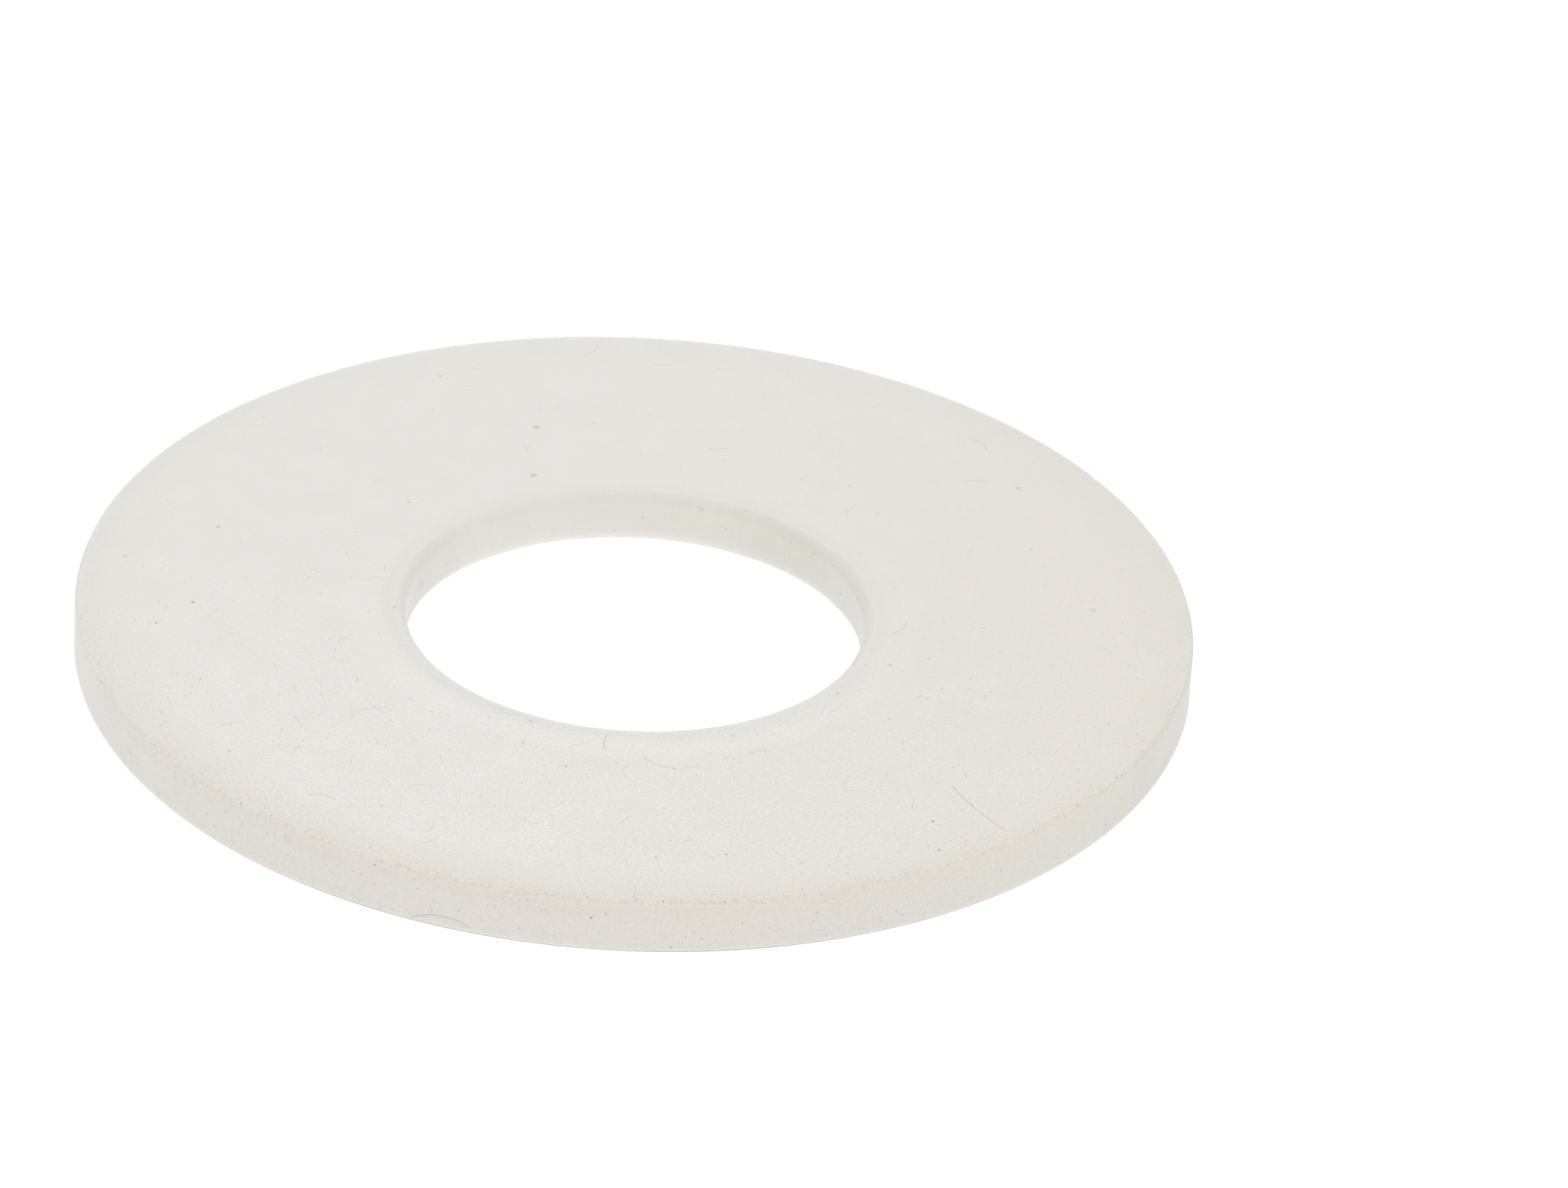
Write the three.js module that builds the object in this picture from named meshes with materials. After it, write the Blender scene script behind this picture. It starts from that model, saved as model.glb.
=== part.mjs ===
// Flat washer: one plain ring punched from translucent silicone-rubber sheet.
// Millimetres, +Z up. The origin is the centre of the bore at the underside, so the washer lies
// on z = 0 and its axis is the Z axis.
import * as THREE from "three";

// Driving dimensions
const OUTER_DIAMETER = 60;
const BORE_DIAMETER = 24.5; // at mid-thickness, between the two rounded edges
const THICKNESS = 3;
const BORE_UPPER_EDGE_RADIUS = 0.8; // where the bore meets the upper face, drawn in by the punch
const BORE_LOWER_EDGE_RADIUS = 0.6; // where the bore meets the underside
const RIM_UPPER_EDGE_RADIUS = 0.3; // where the rim meets the upper face
const RIM_LOWER_EDGE_RADIUS = 0.1; // where the rim meets the underside

// A rounded edge never takes more than this share of the thickness or of the ring's width
const LARGEST_EDGE_SHARE = 0.4;

// Fineness of the facets
const RING_SEGMENTS = 96; // a multiple of 4, so the ring reaches its full diameter along X and Y
const EDGE_STEPS = 4; // straight steps in each rounded edge

const QUARTER_TURN = Math.PI / 2;

const siliconeRubber = new THREE.MeshStandardMaterial({
  color: 0xe6e4df,
  roughness: 0.55,
  metalness: 0,
});

// The rounding that fits on the ring, however thin or narrow it is.
function edgeRadiusThatFits(wantedRadius, ringWidth) {
  return Math.min(wantedRadius, LARGEST_EDGE_SHARE * THICKNESS, LARGEST_EDGE_SHARE * ringWidth);
}

// Points of a rounded corner, as a quarter circle from startAngle to startAngle + 90 degrees.
function roundedCorner(centreRadius, centreHeight, edgeRadius, startAngle) {
  const corner = new THREE.EllipseCurve(
    centreRadius,
    centreHeight,
    edgeRadius,
    edgeRadius,
    startAngle,
    startAngle + QUARTER_TURN,
  );
  return corner.getPoints(EDGE_STEPS);
}

// Cross-section of the ring, as radius and height: up the rim, inwards across the upper face,
// down the bore and back across the underside to where it began.
function ringSection() {
  const rim = OUTER_DIAMETER / 2;
  const bore = BORE_DIAMETER / 2;
  const rimLower = edgeRadiusThatFits(RIM_LOWER_EDGE_RADIUS, rim - bore);
  const rimUpper = edgeRadiusThatFits(RIM_UPPER_EDGE_RADIUS, rim - bore);
  const boreUpper = edgeRadiusThatFits(BORE_UPPER_EDGE_RADIUS, rim - bore);
  const boreLower = edgeRadiusThatFits(BORE_LOWER_EDGE_RADIUS, rim - bore);
  const section = [
    ...roundedCorner(rim - rimLower, rimLower, rimLower, -QUARTER_TURN),
    ...roundedCorner(rim - rimUpper, THICKNESS - rimUpper, rimUpper, 0),
    ...roundedCorner(bore + boreUpper, THICKNESS - boreUpper, boreUpper, QUARTER_TURN),
    ...roundedCorner(bore + boreLower, boreLower, boreLower, 2 * QUARTER_TURN),
  ];
  section.push(section[0].clone());
  return section;
}

// The ring: its section turned about the washer's axis and laid flat.
function makeWasherRing() {
  const geometry = new THREE.LatheGeometry(ringSection(), RING_SEGMENTS);
  geometry.rotateX(QUARTER_TURN);
  const ring = new THREE.Mesh(geometry, siliconeRubber);
  ring.name = "washer_ring";
  return ring;
}

const flatWasher = new THREE.Group();
flatWasher.add(makeWasherRing());

export default flatWasher;
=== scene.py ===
"""Flat washer of milky translucent silicone rubber, lying on a white studio table.

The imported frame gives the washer's place and sizes. This script models the ring again with a fine
surface and gives it its material, then adds the table, the lights and the camera.
"""

import math

import bmesh
import bpy
from mathutils import Matrix, Vector, noise


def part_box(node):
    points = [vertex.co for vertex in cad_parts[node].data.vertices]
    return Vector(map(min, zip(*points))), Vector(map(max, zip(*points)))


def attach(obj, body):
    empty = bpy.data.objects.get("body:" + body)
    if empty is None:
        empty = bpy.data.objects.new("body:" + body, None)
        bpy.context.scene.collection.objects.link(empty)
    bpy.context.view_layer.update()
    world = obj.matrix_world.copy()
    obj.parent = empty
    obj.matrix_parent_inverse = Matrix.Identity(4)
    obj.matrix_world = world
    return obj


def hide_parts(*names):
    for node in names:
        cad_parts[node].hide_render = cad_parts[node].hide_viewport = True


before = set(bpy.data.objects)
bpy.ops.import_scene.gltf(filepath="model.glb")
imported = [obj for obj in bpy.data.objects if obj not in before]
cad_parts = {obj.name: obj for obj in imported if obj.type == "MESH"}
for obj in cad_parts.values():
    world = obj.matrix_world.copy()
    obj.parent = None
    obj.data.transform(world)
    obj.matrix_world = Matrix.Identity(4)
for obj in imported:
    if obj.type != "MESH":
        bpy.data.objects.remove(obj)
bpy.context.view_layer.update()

MM = 0.001  # one millimetre, in metres

# ---------------------------------------------------------------- sizes, worked out from the frame

RING_NODE = "washer_ring"
ON_A_FACE = 0.001 * MM  # a vertex this near the highest or lowest plane lies on that face


def ring_sizes():
    """Radii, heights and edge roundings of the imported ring, in metres."""
    low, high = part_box(RING_NODE)
    points = [(math.hypot(v.co.x, v.co.y), v.co.z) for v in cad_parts[RING_NODE].data.vertices]
    bore = min(radius for radius, height in points)
    upper_face = [radius for radius, height in points if high.z - height < ON_A_FACE]
    underside = [radius for radius, height in points if height - low.z < ON_A_FACE]
    return {
        "rim": high.x,
        "bore": bore,
        "bottom": low.z,
        "top": high.z,
        "bore_upper_edge": min(upper_face) - bore,
        "bore_lower_edge": min(underside) - bore,
        "rim_upper_edge": high.x - max(upper_face),
        "rim_lower_edge": high.x - max(underside),
    }


ring = ring_sizes()

# ---------------------------------------------------------------- the ring's mesh

QUARTER_STEPS = 220  # facets in a quarter turn
WALL_STEP = 0.15 * MM  # height of a facet on the cut walls
FACE_STEP = 0.8 * MM  # width of a facet on the flat faces

RIM_CUT_LINE = 2.0 * MM  # height of the faint line where the blade's shear ends, on the rim
BORE_CUT_LINE = 1.8 * MM
CUT_STEP = 0.012 * MM  # how far the wall stands back below that line
CUT_BLEND = 0.2 * MM  # height over which it does

CUT_REACH = 0.2 * MM  # how far behind a wall its vertices still follow that step

WAVE = 0.02 * MM  # how far a soft cut wall wanders in and out
WAVE_REACH = 2 * MM  # how far behind the wall the wandering dies away
WAVE_LUMPS = (4, 11)  # coarse and fine lumps, as noise scales round a circle of radius 1
FINE_WAVE = 0.5  # height of the fine lumps beside the coarse ones
NICK = 0.03 * MM  # depth of the ragged nicks along the rim's upper edge
NICK_LUMPS = (60, 130)
FINE_NICK = 0.6
SAG = 0.02 * MM  # how far the upper face lies off flat
SAG_LUMP = 12 * MM
SAG_FROM = 0.6  # share of the thickness above which the ring sags


def smooth_step(low, high, value):
    """0 up to low, 1 from high on, and smooth between. low may be the larger of the two."""
    share = min(max((value - low) / (high - low), 0.0), 1.0)
    return share * share * (3 - 2 * share)


def ring_section(mesh):
    """The ring's cross-section as one face in the XZ plane, with rounded corners."""
    # Each corner's radius, height, rounding, and the number of facets in that rounding.
    corners = [
        (ring["rim"], ring["bottom"], ring["rim_lower_edge"], 3),
        (ring["rim"], ring["top"], ring["rim_upper_edge"], 6),
        (ring["bore"], ring["top"], ring["bore_upper_edge"], 10),
        (ring["bore"], ring["bottom"], ring["bore_lower_edge"], 6),
    ]
    verts = [mesh.verts.new((radius, 0, height)) for radius, height, _, _ in corners]
    mesh.faces.new(verts)
    for vert, (_, _, rounding, segments) in zip(verts, corners):
        bmesh.ops.bevel(
            mesh,
            geom=[vert],
            offset=rounding,
            segments=segments,
            profile=0.5,
            affect="VERTICES",
            material=-1,
        )


def split_straights(mesh):
    """Splits the section's straight stretches, so that the walls and faces can be worked."""
    for edge in list(mesh.edges):
        along_wall = abs(edge.verts[0].co.x - edge.verts[1].co.x) < ON_A_FACE
        cuts = int(edge.calc_length() / (WALL_STEP if along_wall else FACE_STEP))
        if cuts:
            bmesh.ops.subdivide_edges(mesh, edges=[edge], cuts=cuts)


def turn_section(mesh):
    """A quarter turn of the section, mirrored twice into the whole ring."""
    bmesh.ops.delete(mesh, geom=list(mesh.faces), context="FACES_ONLY")
    bmesh.ops.spin(
        mesh,
        geom=list(mesh.verts) + list(mesh.edges),
        cent=(0, 0, 0),
        axis=(0, 0, 1),
        angle=math.pi / 2,
        steps=QUARTER_STEPS,
    )
    for axis in "XY":
        bmesh.ops.mirror(
            mesh,
            geom=list(mesh.verts) + list(mesh.edges) + list(mesh.faces),
            matrix=Matrix.Identity(4),
            merge_dist=ON_A_FACE,
            axis=axis,
        )
    bmesh.ops.remove_doubles(mesh, verts=list(mesh.verts), dist=ON_A_FACE)
    bmesh.ops.recalc_face_normals(mesh, faces=list(mesh.faces))


def lumps(outward, scales, fine):
    """Coarse and fine noise values round the ring, the fine one scaled by its share."""
    return noise.noise(outward * scales[0]), fine * noise.noise(outward * scales[1])


def soften(mesh):
    """Moves the surface as cutting a soft sheet leaves it: wavy walls, nicked edge, cut lines."""
    rim, bore, bottom, top = (ring[name] for name in ("rim", "bore", "bottom", "top"))
    corner = 2 * ring["rim_upper_edge"]  # how far the nicks reach from the rim's upper edge
    for vert in mesh.verts:
        radius = math.hypot(vert.co.x, vert.co.y)
        outward = Vector((vert.co.x, vert.co.y, 0)) / radius
        height = vert.co.z - bottom

        on_rim = smooth_step(rim - WAVE_REACH, rim, radius)
        on_bore = smooth_step(bore + WAVE_REACH, bore, radius)
        push = WAVE * (on_rim + on_bore) * sum(lumps(outward, WAVE_LUMPS, FINE_WAVE))

        below = smooth_step(0, CUT_BLEND, RIM_CUT_LINE - height)
        push -= CUT_STEP * below * smooth_step(rim - CUT_REACH, rim, radius)
        below = smooth_step(0, CUT_BLEND, BORE_CUT_LINE - height)
        push += CUT_STEP * below * smooth_step(bore + CUT_REACH, bore, radius)

        nicked = smooth_step(rim - corner, rim, radius) * smooth_step(top - corner, top, vert.co.z)
        push -= NICK * nicked * sum(max(0.0, lump) for lump in lumps(outward, NICK_LUMPS, FINE_NICK))

        sag = 0.5 + 0.5 * noise.noise(vert.co / SAG_LUMP)
        vert.co += push * outward
        vert.co.z -= SAG * sag * smooth_step(SAG_FROM, 1.0, height / (top - bottom))


def make_ring():
    """The finished ring, as one closed piece."""
    mesh = bmesh.new()
    ring_section(mesh)
    split_straights(mesh)
    turn_section(mesh)
    soften(mesh)
    for face in mesh.faces:
        face.smooth = True
    data = bpy.data.meshes.new("silicone_ring")
    mesh.to_mesh(data)
    mesh.free()
    piece = bpy.data.objects.new("silicone_ring", data)
    bpy.context.scene.collection.objects.link(piece)
    return piece


# ---------------------------------------------------------------- shader writing


class Socket:
    """A node's output that can be used in sums. Each operator adds a Math node."""

    def __init__(self, nodes, link):
        self.nodes = nodes
        self.link = link

    def math(self, operation, *values):
        return self.nodes.add("ShaderNodeMath", {"operation": operation}, values)

    def __add__(self, other):
        return self.math("ADD", self, other)

    def __sub__(self, other):
        return self.math("SUBTRACT", self, other)

    def __rsub__(self, other):
        return self.math("SUBTRACT", other, self)

    def __mul__(self, other):
        return self.math("MULTIPLY", self, other)

    def __truediv__(self, other):
        return self.math("DIVIDE", self, other)

    def __abs__(self):
        return self.math("ABSOLUTE", self)

    __radd__ = __add__
    __rmul__ = __mul__

    def most(self, other):
        return self.math("MAXIMUM", self, other)

    def step(self, low, high):
        """0 up to low, 1 from high on, and smooth between. low may be the larger of the two."""
        values = {"Value": self, "From Min": low, "From Max": high}
        return self.nodes.add("ShaderNodeMapRange", {"interpolation_type": "SMOOTHSTEP"}, values)

    def near(self, middle, reach):
        """1 at middle, falling smoothly to 0 at reach on either side of it."""
        return abs(self - middle).step(reach, 0)

    def vector(self, operation, other=None, output="Vector", **values):
        """A Vector Math node on this vector."""
        inputs = {0: self, **values}
        if other is not None:
            inputs[1] = other
        return self.nodes.add("ShaderNodeVectorMath", {"operation": operation}, inputs, output)


class Nodes:
    """A node tree that is written with add, blend and the sums of its sockets."""

    def __init__(self, tree):
        self.tree = tree

    def add(self, kind, settings=None, inputs=(), output=0):
        """Adds a node. settings are its properties; inputs are numbers, colours or Sockets."""
        made = self.tree.nodes.new(kind)
        for name, value in (settings or {}).items():
            setattr(made, name, value)
        pairs = inputs.items() if isinstance(inputs, dict) else enumerate(inputs)
        for name, value in pairs:
            self.feed(made.inputs[name], value)
        return Socket(self, made.outputs[output])

    def outputs(self, socket, *names):
        """Other outputs of the node that a socket belongs to."""
        return [Socket(self, socket.link.node.outputs[name]) for name in names]

    def feed(self, socket, value):
        if isinstance(value, Socket):
            self.tree.links.new(value.link, socket)
        else:
            socket.default_value = value

    def blend(self, share, first, second):
        """Colour first where share is 0, and second where it is 1."""
        return self.add("ShaderNodeMix", {"data_type": "RGBA"}, {0: share, 6: first, 7: second}, 2)

    def grain(self, place, scale, detail=2.0):
        """Noise around 0.5 over a place in millimetres, with scale lumps to the millimetre."""
        values = {"Vector": place, "Scale": scale, "Detail": detail}
        return self.add("ShaderNodeTexNoise", None, values)


# ---------------------------------------------------------------- the silicone's finish

# Lengths in this section are in millimetres, because the patterns' scales are. A SCALE is a number of
# lumps, or of cells, to the millimetre. A pair of numbers is where a mask is 0 and where it is 1.
RIM = ring["rim"] / MM
BORE = ring["bore"] / MM
TOP = ring["top"] / MM

FACE_COLOUR = (0.813, 0.803, 0.770, 1)
WARM_COLOUR = (0.799, 0.775, 0.725, 1)  # the face towards +X and along its front rim
# Cut-wall colours: the walls' own warmer tint plus painted shade, darker than the face as they turn from
# the light overhead; the bore's wall is painted less dark, as lit from the front.
WARM_SHADED_RIM_COLOUR = (0.774, 0.748, 0.703, 1)
WARM_SHADED_BORE_COLOUR = (0.798, 0.778, 0.735, 1)
YELLOW_TINT = (0.817, 0.787, 0.668, 1)  # on the upper half of the walls, at the right
YELLOW_SHARE = 0.38
BORE_YELLOW = 0.6  # share of that in the bore
SPECK_COLOUR = (0.13, 0.11, 0.09, 1)
LINT_COLOUR = (0.30, 0.30, 0.27, 1)
HAIR_COLOUR = (0.36, 0.28, 0.16, 1)
SCATTER = (0.42 * MM, 0.40 * MM, 0.36 * MM)  # how far red, green and blue light wander inside
SILICONE_IOR = 1.41
SILICONE_SPECULAR = 0.25
FACE_ROUGHNESS = 0.62
CUT_ROUGHNESS = 0.45
GRIT_ROUGHNESS = 0.2  # how much the grain varies the roughness

# Places on the ring, by radius, height, or distance along X or Y.
FRONT = (0.5 * RIM, -0.8 * RIM)
RIM_WALL = (RIM - 0.25, RIM - 0.08)
BORE_WALL = (BORE + 0.7, BORE + 0.25)
RIM_BAND = (RIM - 1.6, RIM - 0.1)
RIM_BAND_FROM_BACK = (0.95 * RIM, 0.6 * RIM)
RIM_APPROACH = (RIM - 4, RIM - 1.5)
RIM_RIGHT = (0.8 * RIM, 0.95 * RIM)
WARM_RIGHT = (-0.3 * RIM, RIM)
WARM_RIM = (RIM - 3.5, RIM - 0.5)
BORE_BAND = (BORE + 1.6, BORE + 0.9)
BORE_FRONT_LEFT = (0.1 * BORE, -0.7 * BORE)
BORE_LEFT = (-0.75 * BORE, -0.95 * BORE)
BORE_RIGHT_MIDDLE = 0.65 * BORE
BORE_RIGHT_REACH = 0.45 * BORE
SHEARED = (-0.15, 0.15)  # above the rim's cut line

EDGE_MIDDLE = RIM - 0.22  # the rim's upper edge, as a band: its middle, reach and height
EDGE_REACH = 0.32
EDGE_HEIGHT = (TOP - 0.5, TOP - 0.15)
EDGE_AT_BACK = 0.4  # how strong it is at the back, beside the front
FRAY_SCALE = 3.0  # that edge is ragged
FRAY = 0.3
LINE_WANDER = 0.5  # how far a cut line wanders up and down
LINE_WANDER_SCALE = 0.5

# Frosted grain and tone, with painted shade and light. Each TONE, and each painted shade or light, is the
# share by which the rubber is lighter or darker there.
RICH_DETAIL = 3.0  # layers of ever finer lumps in the richer patterns
GRIT_SCALE = 6.0
GRIT_TONE = 0.07
GRIT_TONE_FRONT = 0.24  # added at the front, where the sheet's skin is rougher
GRIT_OFF_CUT = 0.4  # how much of it the cutting took off the walls
MOTTLE_SCALE = 0.9
MOTTLE_PATCHES = (0.46, 0.58)
MOTTLE = (1.006, 0.996, 0.990)  # what the warmer patches multiply the colour by
YELLOW_SCALE = 0.25
YELLOW_PATCHES = (0.42, 0.58)
YELLOW_BETWEEN = 0.6  # how yellow it is between the patches
YELLOW_FACING = (0.82, -0.57, 0)  # the way the yellower side of the rim looks
YELLOW_SPREAD = (0.55, 0.98)
YELLOW_RIM_HEIGHT = (-0.2, 0.3)  # above the cut line
YELLOW_BORE_HEIGHT = (-0.6, 0.2)
YELLOW_BORE_MIDDLE = 0.5 * BORE
YELLOW_BORE_REACH = 0.6 * BORE
CLOUD_SCALE = 0.35
CLOUD_TONE = 0.04
STREAK_SCALE = 2.5
STREAK_STRETCH = 0.12  # streaks on the walls are drawn out upright by this share
STREAK_TONE = 0.05
SHEARED_TONE = -0.015
# Painted shade: the rim's rounded upper edge a little darker.
EDGE_PAINTED_SHADE = -0.02
EDGE_FLECK_SCALE = 4.5
EDGE_DARK_FLECK = -0.08
EDGE_DARK_FLECKS = (0.56, 0.62)
EDGE_LIGHT_FLECK = 0.02
EDGE_LIGHT_FLECKS = (0.44, 0.36)
# Painted shade: a darker band inside the rim, and the face darker as it nears the rim.
RIM_BAND_PAINTED_SHADE = -0.025
RIM_APPROACH_PAINTED_SHADE = -0.012
# Painted shade and light round the bore: a darker band inside it, and a paler halo at its front.
BORE_BAND_PAINTED_SHADE = -0.02
BORE_BAND_FRONT_LEFT = 1.8  # how much stronger it is there
BORE_HALO_PAINTED_LIGHT = 0.028
BORE_HALO_MIDDLE = BORE + 2.5
BORE_HALO_REACH = 1.3
# Painted light: the front of the ring made lighter.
FRONT_PAINTED_LIGHT = 0.012
# Painted shade and light on the bore's wall: darker to the right, lighter to the left, darker again at
# the far left.
BORE_SLANT_SHADE_AND_LIGHT = -0.035  # from the bore's middle to its right, and the reverse to its left
BORE_LEFT_PAINTED_SHADE = -0.06
BORE_RIGHT_PAINTED_SHADE = -0.022
# Painted shade: the right of the rim's wall darker, as it faces away from the light.
RIM_RIGHT_PAINTED_SHADE = -0.055

# Relief: how deep the grain, the skin's lumps and the streaks are.
GRIT_DEPTH = 0.012
GRIT_WORN = 0.7  # how much of it the cutting took off the walls
SKIN_SCALE = 3.0
SKIN_DEPTH = 0.01
STREAK_DEPTH = 0.01

# Dust and lint. A SHARE is the part of the cells that hold a dot or a fibre.
CRISP = (0.0, 0.02)  # the border of a dot, as a share of a cell
DOT_SCALE = 1.1
DOT_SHARE = 0.03
DOT_SHARE_FRONT = 0.37  # added at the front
DOT_WIDTH = 0.12
DOT_STRENGTH = 0.34
PEPPER_SCALE = 2.6
PEPPER_SHARE = 0.04
PEPPER_SHARE_FRONT = 0.34  # added at the front
PEPPER_SHARE_LINE = 0.35  # added on the cut lines
PEPPER_SHARE_EDGE = 0.5  # along the rim's upper edge
PEPPER_SHARE_RIM = 0.1  # and all over its wall
PEPPER_SHARE_DUSTY = 0.4  # added at the rim's front left, and at the bore's left and right
DUSTY_RIM = (0.2 * RIM, -0.5 * RIM)
DUSTY_BORE = (0.4 * BORE, 0.9 * BORE)
DUSTY_LINE_MIDDLE = -0.05  # above the cut line
DUSTY_LINE_REACH = 0.35
PEPPER_WIDTH = 0.10
PEPPER_STRENGTH = 0.22
LINT_SCALE = 0.28
LINT_SHARE = 0.45
LINT_AT_BACK = 0.4  # how much of it there is at the back, beside the front
LINT_LENGTH = 1.4
LINT_SHORTEST = 0.25  # half a fibre's length is from this share of LINT_LENGTH
LINT_LONGER = 0.4  # to this much more
LINT_TAPER = 0.15
LINT_FAINTEST = 0.4
LINT_WIDTH = 0.05
LINT_STRENGTH = 0.30
HAIR_STRENGTH = 0.36
HAIR_DEPTH = 0.5  # how far from the upper face's height a hair fades out
STRAND_BORDER = (0.8, 0.35)  # where a strand's border lies, in widths from its middle
SPECK_BORDER = (0.55, 0.3)  # and a speck's
END_BORDER = 0.02  # how soft the ends of a hair are, as a share of its length

# Specks of dust that catch the eye: angle round the ring, radius, height, width and strength. The
# angle is counted anticlockwise from +X.
SPECKS = [
    (114, 15.0, 3.0, 0.48, 0.20),
    (108, 20.0, 3.0, 0.44, 0.24),
    (37, 25.5, 3.0, 0.34, 0.20),
    (6, 24.7, 3.0, 0.38, 0.18),
    (0, 18.7, 3.0, 0.24, 0.12),
    (-18, 14.5, 3.0, 0.32, 0.20),
    (-35, 13.5, 3.0, 0.30, 0.14),
    (116, 26.8, 3.0, 0.44, 0.12),
    (165, 23.6, 3.0, 0.32, 0.22),
    (175, 27.7, 3.0, 0.20, 0.30),
    (-175, 23.7, 3.0, 0.28, 0.38),
    (-170, 25.8, 3.0, 0.24, 0.34),
    (-54, 28.5, 3.0, 0.23, 0.42),
    (-51, 26.0, 3.0, 0.19, 0.60),
    (-77, 25.4, 3.0, 0.17, 0.60),
    (-69, 26.9, 3.0, 0.16, 0.32),
    (-136, 23.7, 3.0, 0.17, 0.40),
    (-174, 12.9, 3.0, 0.22, 0.30),
    (-112, 13.4, 3.0, 0.17, 0.40),
    (-110, 15.6, 3.0, 0.17, 0.40),
    (-100, 17.1, 3.0, 0.16, 0.40),
    (-92, 30.0, 1.9, 0.15, 0.60),
    (-77, 30.0, 1.6, 0.18, 0.20),
    (-124, 30.0, 1.2, 0.15, 0.18),
    (-133, 30.0, 2.1, 0.16, 0.30),
    (-84, 30.0, 0.3, 0.14, 0.35),
    (-60, 30.0, 0.7, 0.14, 0.16),
    (-48, 30.0, 1.5, 0.18, 0.20),
    (-150, 30.0, 1.2, 0.16, 0.30),
    (75, 12.3, 2.5, 0.30, 0.12),
    (51, 12.3, 2.4, 0.24, 0.06),
    (162, 12.3, 1.5, 0.26, 0.22),
]

# Hairs on the upper face: where each starts and ends, as angle and radius, how far it bows to one
# side of the straight line between, its width and its colour.
HAIRS = [
    ((-45.8, 28.9), (-43.8, 24.0), 0.15, 0.06, HAIR_COLOUR),
    ((-86.0, 15.5), (-80.5, 16.6), -0.25, 0.055, LINT_COLOUR),
    ((-93.8, 15.0), (-93.8, 13.3), 0.15, 0.055, LINT_COLOUR),
    ((-66.0, 16.1), (-61.5, 16.0), 0.25, 0.04, LINT_COLOUR),
    ((-101.5, 17.1), (-99.5, 17.1), 0.05, 0.04, LINT_COLOUR),
    ((-139.5, 18.9), (-136.5, 17.2), 0.0, 0.04, LINT_COLOUR),
    ((-161.0, 16.5), (-162.5, 15.6), 0.2, 0.05, LINT_COLOUR),
    ((-127.5, 26.7), (-124.5, 26.1), 0.2, 0.05, LINT_COLOUR),
]

# A fibre on the rim's wall: the angle and height where it starts and ends, its bow and its width.
RIM_FIBRE = ((-110.4, 0.1), (-104.1, 0.3), 0.45, 0.05)
RIM_FIBRE_STRENGTH = 0.45


def polar(angle, radius, height):
    """A point on the ring, from an angle in degrees."""
    turn = math.radians(angle)
    return Vector((radius * math.cos(turn), radius * math.sin(turn), height))


class RingPlaces:
    """Where a point lies on the ring, in millimetres, and masks for the ring's parts."""

    def __init__(self, nodes):
        self.place = nodes.add("ShaderNodeTexCoord", output="Object").vector("SCALE", Scale=1 / MM)
        self.flat = self.place.vector("MULTIPLY", (1, 1, 0))
        self.radius = self.flat.vector("LENGTH", output="Value")
        self.x = nodes.add("ShaderNodeSeparateXYZ", None, {"Vector": self.place}, "X")
        self.y, self.height = nodes.outputs(self.x, "Y", "Z")
        self.front = self.y.step(*FRONT)

        fray = (nodes.grain(self.place, FRAY_SCALE, RICH_DETAIL) - 0.5) * FRAY
        self.on_rim = (self.radius + fray).step(*RIM_WALL)
        self.on_bore = self.radius.step(*BORE_WALL)
        self.on_cut = self.on_rim.most(self.on_bore)
        edge = self.radius.near(EDGE_MIDDLE, EDGE_REACH) * self.height.step(*EDGE_HEIGHT)
        self.edge = edge * (EDGE_AT_BACK + (1 - EDGE_AT_BACK) * self.front)

        # Heights above the faint line where the blade's shear ends, on the rim and in the bore.
        wander = (nodes.grain(self.flat, LINE_WANDER_SCALE) - 0.5) * LINE_WANDER
        self.rim_line = self.height + wander - RIM_CUT_LINE / MM
        self.bore_line = self.height + wander - BORE_CUT_LINE / MM


def edge_tone(nodes, at):
    """The rim's upper edge is a little darker, as painted shade, with dark flecks and fewer light ones.
    """
    flecks = nodes.grain(at.place, EDGE_FLECK_SCALE)
    dark = EDGE_DARK_FLECK * flecks.step(*EDGE_DARK_FLECKS)
    light = EDGE_LIGHT_FLECK * flecks.step(*EDGE_LIGHT_FLECKS)
    return at.edge * (dark + light + EDGE_PAINTED_SHADE)


def rim_tone(at):
    """Darker above the cut line, and painted shade along the face's outer margin and at the right of the
    wall.
    """
    sheared = SHEARED_TONE * at.on_rim * at.rim_line.step(*SHEARED)
    band = RIM_BAND_PAINTED_SHADE * at.radius.step(*RIM_BAND) * (1 - at.on_rim)
    band = band * at.y.step(*RIM_BAND_FROM_BACK)
    approach = RIM_APPROACH_PAINTED_SHADE * at.radius.step(*RIM_APPROACH)
    return sheared + band + approach + RIM_RIGHT_PAINTED_SHADE * at.on_rim * at.x.step(*RIM_RIGHT)


def bore_tone(at):
    """Painted shade and light round the bore: a darker band, a paler halo, and a wall that darkens
    towards the right.
    """
    front_left = at.front * at.x.step(*BORE_FRONT_LEFT)
    band = BORE_BAND_PAINTED_SHADE * (1 + BORE_BAND_FRONT_LEFT * front_left) * at.radius.step(*BORE_BAND)
    halo = BORE_HALO_PAINTED_LIGHT * at.radius.near(BORE_HALO_MIDDLE, BORE_HALO_REACH) * at.front
    wall = BORE_SLANT_SHADE_AND_LIGHT / BORE * at.x + BORE_LEFT_PAINTED_SHADE * at.x.step(*BORE_LEFT)
    wall = wall + BORE_RIGHT_PAINTED_SHADE * at.x.near(BORE_RIGHT_MIDDLE, BORE_RIGHT_REACH)
    return band * (1 - at.on_bore) + halo + at.on_bore * wall


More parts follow.
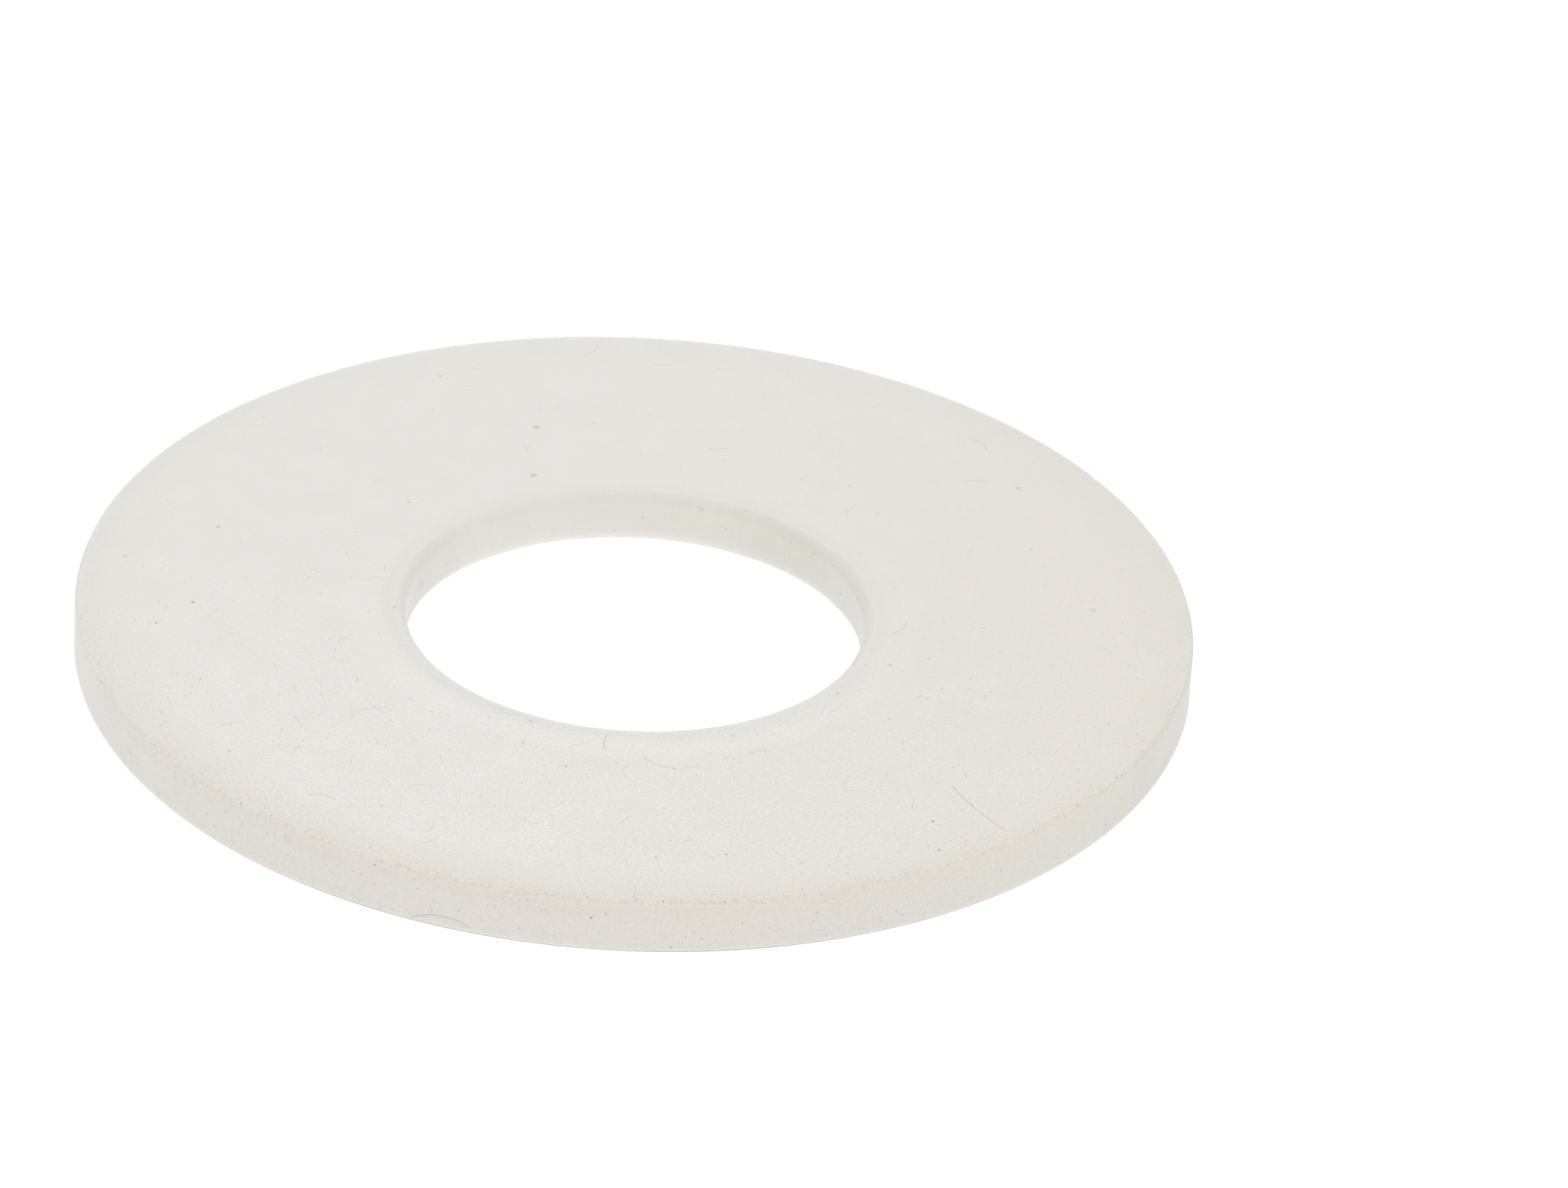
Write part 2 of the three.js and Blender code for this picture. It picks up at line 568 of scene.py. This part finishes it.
def rubber_tone(nodes, at, grit, streaks):
    """How light the rubber is: frosted grain, broad clouds, streaks on the walls, and painted shade and
    light in bands at the edges and at the front.
    """
    grain = GRIT_TONE + GRIT_TONE_FRONT * at.front
    clouds = nodes.grain(at.place, CLOUD_SCALE, RICH_DETAIL)
    tone = 1 + (grit - 0.5) * grain * (1 - GRIT_OFF_CUT * at.on_cut) + (clouds - 0.5) * CLOUD_TONE
    # painted light at the front
    tone = tone + (streaks - 0.5) * STREAK_TONE * at.on_cut + FRONT_PAINTED_LIGHT * at.front
    return tone + edge_tone(nodes, at) + rim_tone(at) + bore_tone(at)


def yellow_tint(nodes, at):
    """1 where the walls are most yellow: their upper half at the right, in patches."""
    facing = at.place.vector("DOT_PRODUCT", YELLOW_FACING, "Value") / RIM
    rim = at.on_rim * facing.step(*YELLOW_SPREAD) * at.rim_line.step(*YELLOW_RIM_HEIGHT)
    bore = at.on_bore * at.x.near(YELLOW_BORE_MIDDLE, YELLOW_BORE_REACH)
    bore = bore * at.bore_line.step(*YELLOW_BORE_HEIGHT)
    patches = nodes.grain(at.flat, YELLOW_SCALE).step(*YELLOW_PATCHES)
    return (rim + bore * BORE_YELLOW) * (YELLOW_BETWEEN + (1 - YELLOW_BETWEEN) * patches)


def rubber_colour(nodes, at):
    """The rubber's colour: warmer to the right and along the front rim, warmer still on the cut walls,
    which are also darker with painted shade.
    """
    warm = at.x.step(*WARM_RIGHT).most(at.radius.step(*WARM_RIM) * at.front)
    mottled = nodes.grain(at.place, MOTTLE_SCALE).step(*MOTTLE_PATCHES)
    colour = nodes.blend(warm, FACE_COLOUR, WARM_COLOUR)
    colour = nodes.blend(mottled, colour, colour.vector("MULTIPLY", MOTTLE))
    # painted shade: the cut walls take their darker colours here
    colour = nodes.blend(at.on_rim, colour, WARM_SHADED_RIM_COLOUR)
    colour = nodes.blend(at.on_bore, colour, WARM_SHADED_BORE_COLOUR)
    return nodes.blend(yellow_tint(nodes, at) * YELLOW_SHARE, colour, YELLOW_TINT)


def scattered_dots(nodes, place, scale, share, width):
    """Dots from half to one and a half times width across, one in each cell of a loose grid at most.

    share is the part of the cells that hold one: a number, or a Socket where it varies.
    """
    cell = nodes.add("ShaderNodeTexVoronoi", None, {"Vector": place, "Scale": scale}, "Distance")
    (draw,) = nodes.outputs(cell, "Color")
    parts = nodes.add("ShaderNodeSeparateColor", None, {"Color": draw}, "Red")
    (size,) = nodes.outputs(parts, "Green")
    reach = (0.5 + size) * (0.5 * width * scale)
    return (reach - cell).step(*CRISP) * (share - parts).step(*CRISP)


def strand(offset, width):
    """1 within a thin strand, where offset is the distance from its middle."""
    return abs(offset).step(*(border * width for border in STRAND_BORDER))


def within_ends(share):
    """1 along a strand, where share runs from 0 at its start to 1 at its end."""
    return share.step(-END_BORDER, END_BORDER) * share.step(1 + END_BORDER, 1 - END_BORDER)


def scattered_lint(nodes, place, scale, share, length, width):
    """Short curved fibres lying every way, one in each cell of a loose grid at most."""
    cell = nodes.add("ShaderNodeTexVoronoi", None, {"Vector": place, "Scale": scale}, "Position")
    (draw,) = nodes.outputs(cell, "Color")
    parts = nodes.add("ShaderNodeSeparateColor", None, {"Color": draw}, "Red")
    turn, bend = nodes.outputs(parts, "Green", "Blue")
    offset = place.vector("SUBTRACT", cell)
    settings = {"rotation_type": "Z_AXIS"}
    local = nodes.add("ShaderNodeVectorRotate", settings, {"Vector": offset, "Angle": turn * math.tau})
    split = nodes.add("ShaderNodeSeparateXYZ", None, {"Vector": local}, "X")
    (side,) = nodes.outputs(split, "Y")
    curve = split * split * (bend - 0.5)
    half = length * (LINT_SHORTEST + LINT_LONGER * bend)
    fibre = strand(side - curve, width) * (half - abs(split)).step(0, LINT_TAPER * length)
    return fibre * (LINT_FAINTEST + (1 - LINT_FAINTEST) * turn) * (share - parts).step(*CRISP)


def speck_mask(place, spot, width):
    """1 inside a small round speck."""
    gap = place.vector("DISTANCE", tuple(spot), "Value")
    return gap.step(*(border * width for border in SPECK_BORDER))


def hair_mask(nodes, place, start, end, bow, width):
    """1 along a thin hair that lies on the upper face and bows to one side."""
    along = end - start
    settings = {"vector_type": "TEXTURE"}
    inputs = {"Vector": place, "Location": tuple(start), "Rotation": (0, 0, math.atan2(along.y, along.x))}
    local = nodes.add("ShaderNodeMapping", settings, inputs)
    split = nodes.add("ShaderNodeSeparateXYZ", None, {"Vector": local}, "X")
    side, lift = nodes.outputs(split, "Y", "Z")
    share = split / along.length
    curve = share * (1 - share) * (4 * bow)
    return strand(side - curve, width) * within_ends(share) * lift.near(0, HAIR_DEPTH)


def rim_fibre_mask(at):
    """1 along the thin fibre that clings to the rim's wall."""
    (first, low), (last, high), bow, width = RIM_FIBRE
    turn = at.y.math("ARCTAN2", at.y, at.x)
    share = (turn - math.radians(first)) / math.radians(last - first)
    curve = low + share * (high - low) + share * (1 - share) * (4 * bow)
    return strand(at.height - curve, width) * within_ends(share) * at.on_rim


def dust(nodes, at):
    """Dots and finer pepper: thicker at the front, on the cut lines and along the rim's upper edge."""
    dot_share = DOT_SHARE + DOT_SHARE_FRONT * at.front
    dots = scattered_dots(nodes, at.place, DOT_SCALE, dot_share, DOT_WIDTH)
    line = at.on_rim * at.rim_line.near(DUSTY_LINE_MIDDLE, DUSTY_LINE_REACH)
    line = line + at.on_bore * at.bore_line.near(DUSTY_LINE_MIDDLE, DUSTY_LINE_REACH)
    dusty = at.on_rim * at.front * at.x.step(*DUSTY_RIM)
    dusty = dusty + at.on_bore * abs(at.x).step(*DUSTY_BORE)
    pepper_share = PEPPER_SHARE + PEPPER_SHARE_FRONT * at.front + PEPPER_SHARE_LINE * line
    pepper_share = pepper_share + PEPPER_SHARE_EDGE * at.edge + PEPPER_SHARE_RIM * at.on_rim
    pepper_share = pepper_share + PEPPER_SHARE_DUSTY * dusty
    pepper = scattered_dots(nodes, at.place, PEPPER_SCALE, pepper_share, PEPPER_WIDTH)
    return DOT_STRENGTH * dots + PEPPER_STRENGTH * (1 + at.edge) * pepper


def with_dirt(nodes, at, colour):
    """Adds dust, then lint and hairs, then the specks that catch the eye."""
    colour = nodes.blend(dust(nodes, at), colour, SPECK_COLOUR)

    linty = LINT_SHARE * (LINT_AT_BACK + (1 - LINT_AT_BACK) * at.front)
    lint = scattered_lint(nodes, at.flat, LINT_SCALE, linty, LINT_LENGTH, LINT_WIDTH)
    colour = nodes.blend(lint * LINT_STRENGTH * (1 - at.on_cut), colour, LINT_COLOUR)
    colour = nodes.blend(rim_fibre_mask(at) * RIM_FIBRE_STRENGTH, colour, LINT_COLOUR)
    for start, end, bow, width, hair_colour in HAIRS:
        hair = hair_mask(nodes, at.place, polar(*start, TOP), polar(*end, TOP), bow, width)
        colour = nodes.blend(hair * HAIR_STRENGTH, colour, hair_colour)

    specks = 0.0
    for angle, radius, height, width, strength in SPECKS:
        specks = strength * speck_mask(at.place, polar(angle, radius, height), width) + specks
    return nodes.blend(specks, colour, SPECK_COLOUR)


def rubber_relief(nodes, at, grit, streaks):
    """The bump of the frosted skin, shallower on the cut walls, in millimetres."""
    relief = grit * GRIT_DEPTH * (1 - GRIT_WORN * at.on_cut)
    relief = relief + nodes.grain(at.place, SKIN_SCALE) * SKIN_DEPTH + streaks * STREAK_DEPTH * at.on_cut
    inputs = {"Strength": 1.0, "Distance": 1.0 * MM, "Height": relief}
    return nodes.add("ShaderNodeBump", None, inputs, "Normal")


def silicone_rubber():
    """Milky translucent silicone: frosted faces, smoother cut walls, and the dust that clings to it."""
    material = bpy.data.materials.new("milky_silicone")
    material.use_nodes = True
    nodes = Nodes(material.node_tree)
    surface = material.node_tree.nodes["Principled BSDF"].inputs
    at = RingPlaces(nodes)
    grit = nodes.grain(at.place, GRIT_SCALE, RICH_DETAIL)
    drawn_out = at.place.vector("MULTIPLY", (1, 1, STREAK_STRETCH))
    streaks = nodes.grain(drawn_out, STREAK_SCALE, RICH_DETAIL)

    tone = rubber_tone(nodes, at, grit, streaks)
    tone = nodes.add("ShaderNodeCombineXYZ", None, (tone, tone, tone))
    colour = rubber_colour(nodes, at).vector("MULTIPLY", tone)
    nodes.feed(surface["Base Color"], with_dirt(nodes, at, colour))
    roughness = FACE_ROUGHNESS + (CUT_ROUGHNESS - FACE_ROUGHNESS) * at.on_cut
    nodes.feed(surface["Roughness"], roughness + (grit - 0.5) * GRIT_ROUGHNESS)
    nodes.feed(surface["Normal"], rubber_relief(nodes, at, grit, streaks))
    surface["IOR"].default_value = SILICONE_IOR
    surface["Specular IOR Level"].default_value = SILICONE_SPECULAR
    surface["Subsurface Weight"].default_value = 1.0
    surface["Subsurface Radius"].default_value = SCATTER
    surface["Subsurface Scale"].default_value = 1.0
    return material


# ---------------------------------------------------------------- studio

CAMERA_ELEVATION = math.radians(30.25)
CAMERA_ROLL = math.radians(3.32)
CAMERA_DISTANCE = 22.55  # in outside radii, along the line of sight
LOOK_RIGHT = 0.271  # how far right of the washer's centre the camera looks, in outside radii
LOOK_UP = 0.111
LENS = 289.0  # millimetres, as the sensor is
SENSOR_WIDTH = 36

TABLE_RADIUS = 4.0
TABLE_GAP = 0.05 * MM  # how far below the washer the table lies
TABLE_WHITE = (1, 1, 1, 1)  # how the table glows
TABLE_COVERED = (0.35, 0.35, 0.35, 1)  # and how it does under the washer
TABLE_COLOUR = (0.1, 0.1, 0.1, 1)
COVERED_FROM_BORE = (0.58 * MM, 0.68 * MM)  # how far inside the washer's outlines that begins
COVERED_FROM_RIM = (0.05 * MM, 0.15 * MM)

HORIZON_LIGHT = 0.86  # what the room sends the washer from front and back
ZENITH_LIGHT = 1.20  # and from overhead
SIDE_DIMMING = 0.55  # the share of that which is missing from its left and right sides


def make_camera():
    """A long lens, low over the front of the table."""
    data = bpy.data.cameras.new("camera")
    data.sensor_width = SENSOR_WIDTH
    data.lens = LENS
    data.clip_start = 0.01
    data.clip_end = 100
    camera = bpy.data.objects.new("camera", data)
    bpy.context.scene.collection.objects.link(camera)
    turn = Matrix.Rotation(math.pi / 2 - CAMERA_ELEVATION, 3, "X") @ Matrix.Rotation(CAMERA_ROLL, 3, "Z")
    place = turn @ Vector((LOOK_RIGHT, LOOK_UP, CAMERA_DISTANCE)) * ring["rim"]
    camera.matrix_world = Matrix.Translation(place) @ turn.to_4x4()
    bpy.context.scene.camera = camera


def white_table():
    """White that glows enough to hide the washer's shadow, except where the washer covers it."""
    material = bpy.data.materials.new("white_table")
    material.use_nodes = True
    nodes = Nodes(material.node_tree)
    surface = material.node_tree.nodes["Principled BSDF"].inputs
    place = nodes.add("ShaderNodeTexCoord", output="Object")
    radius = place.vector("MULTIPLY", (1, 1, 0)).vector("LENGTH", output="Value")
    covered = radius.step(*(ring["bore"] + inset for inset in COVERED_FROM_BORE))
    covered = covered * radius.step(*(ring["rim"] - inset for inset in COVERED_FROM_RIM))
    nodes.feed(surface["Emission Color"], nodes.blend(covered, TABLE_WHITE, TABLE_COVERED))
    surface["Emission Strength"].default_value = 1.0
    surface["Base Color"].default_value = TABLE_COLOUR
    surface["Roughness"].default_value = 1.0
    surface["Specular IOR Level"].default_value = 0.0
    return material


def make_table():
    """A round table top, much wider than the view."""
    mesh = bmesh.new()
    bmesh.ops.create_circle(mesh, cap_ends=True, segments=96, radius=TABLE_RADIUS)
    bmesh.ops.translate(mesh, verts=mesh.verts, vec=(0, 0, ring["bottom"] - TABLE_GAP))
    data = bpy.data.meshes.new("table")
    mesh.to_mesh(data)
    mesh.free()
    table = bpy.data.objects.new("table", data)
    bpy.context.scene.collection.objects.link(table)
    data.materials.append(white_table())


def make_room():
    """A white room that is brightest overhead and dimmest at its left and right."""
    world = bpy.data.worlds.new("studio")
    world.use_nodes = True
    nodes = Nodes(world.node_tree)
    direction = nodes.add("ShaderNodeTexCoord", output="Generated")
    split = nodes.add("ShaderNodeSeparateXYZ", None, {"Vector": direction}, "Z")
    (right,) = nodes.outputs(split, "X")
    light = HORIZON_LIGHT + split.step(0.0, 1.0) * (ZENITH_LIGHT - HORIZON_LIGHT)
    light = light * (1 - right * right * SIDE_DIMMING)
    seen = nodes.add("ShaderNodeLightPath", output="Is Camera Ray")
    nodes.feed(world.node_tree.nodes["Background"].inputs["Strength"], light.most(seen))
    world.node_tree.nodes["Background"].inputs["Color"].default_value = (1, 1, 1, 1)
    bpy.context.scene.world = world
    bpy.context.scene.view_settings.view_transform = "Standard"


make_camera()
make_table()
make_room()

washer = make_ring()
washer.data.materials.append(silicone_rubber())
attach(washer, "root")
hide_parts(RING_NODE)
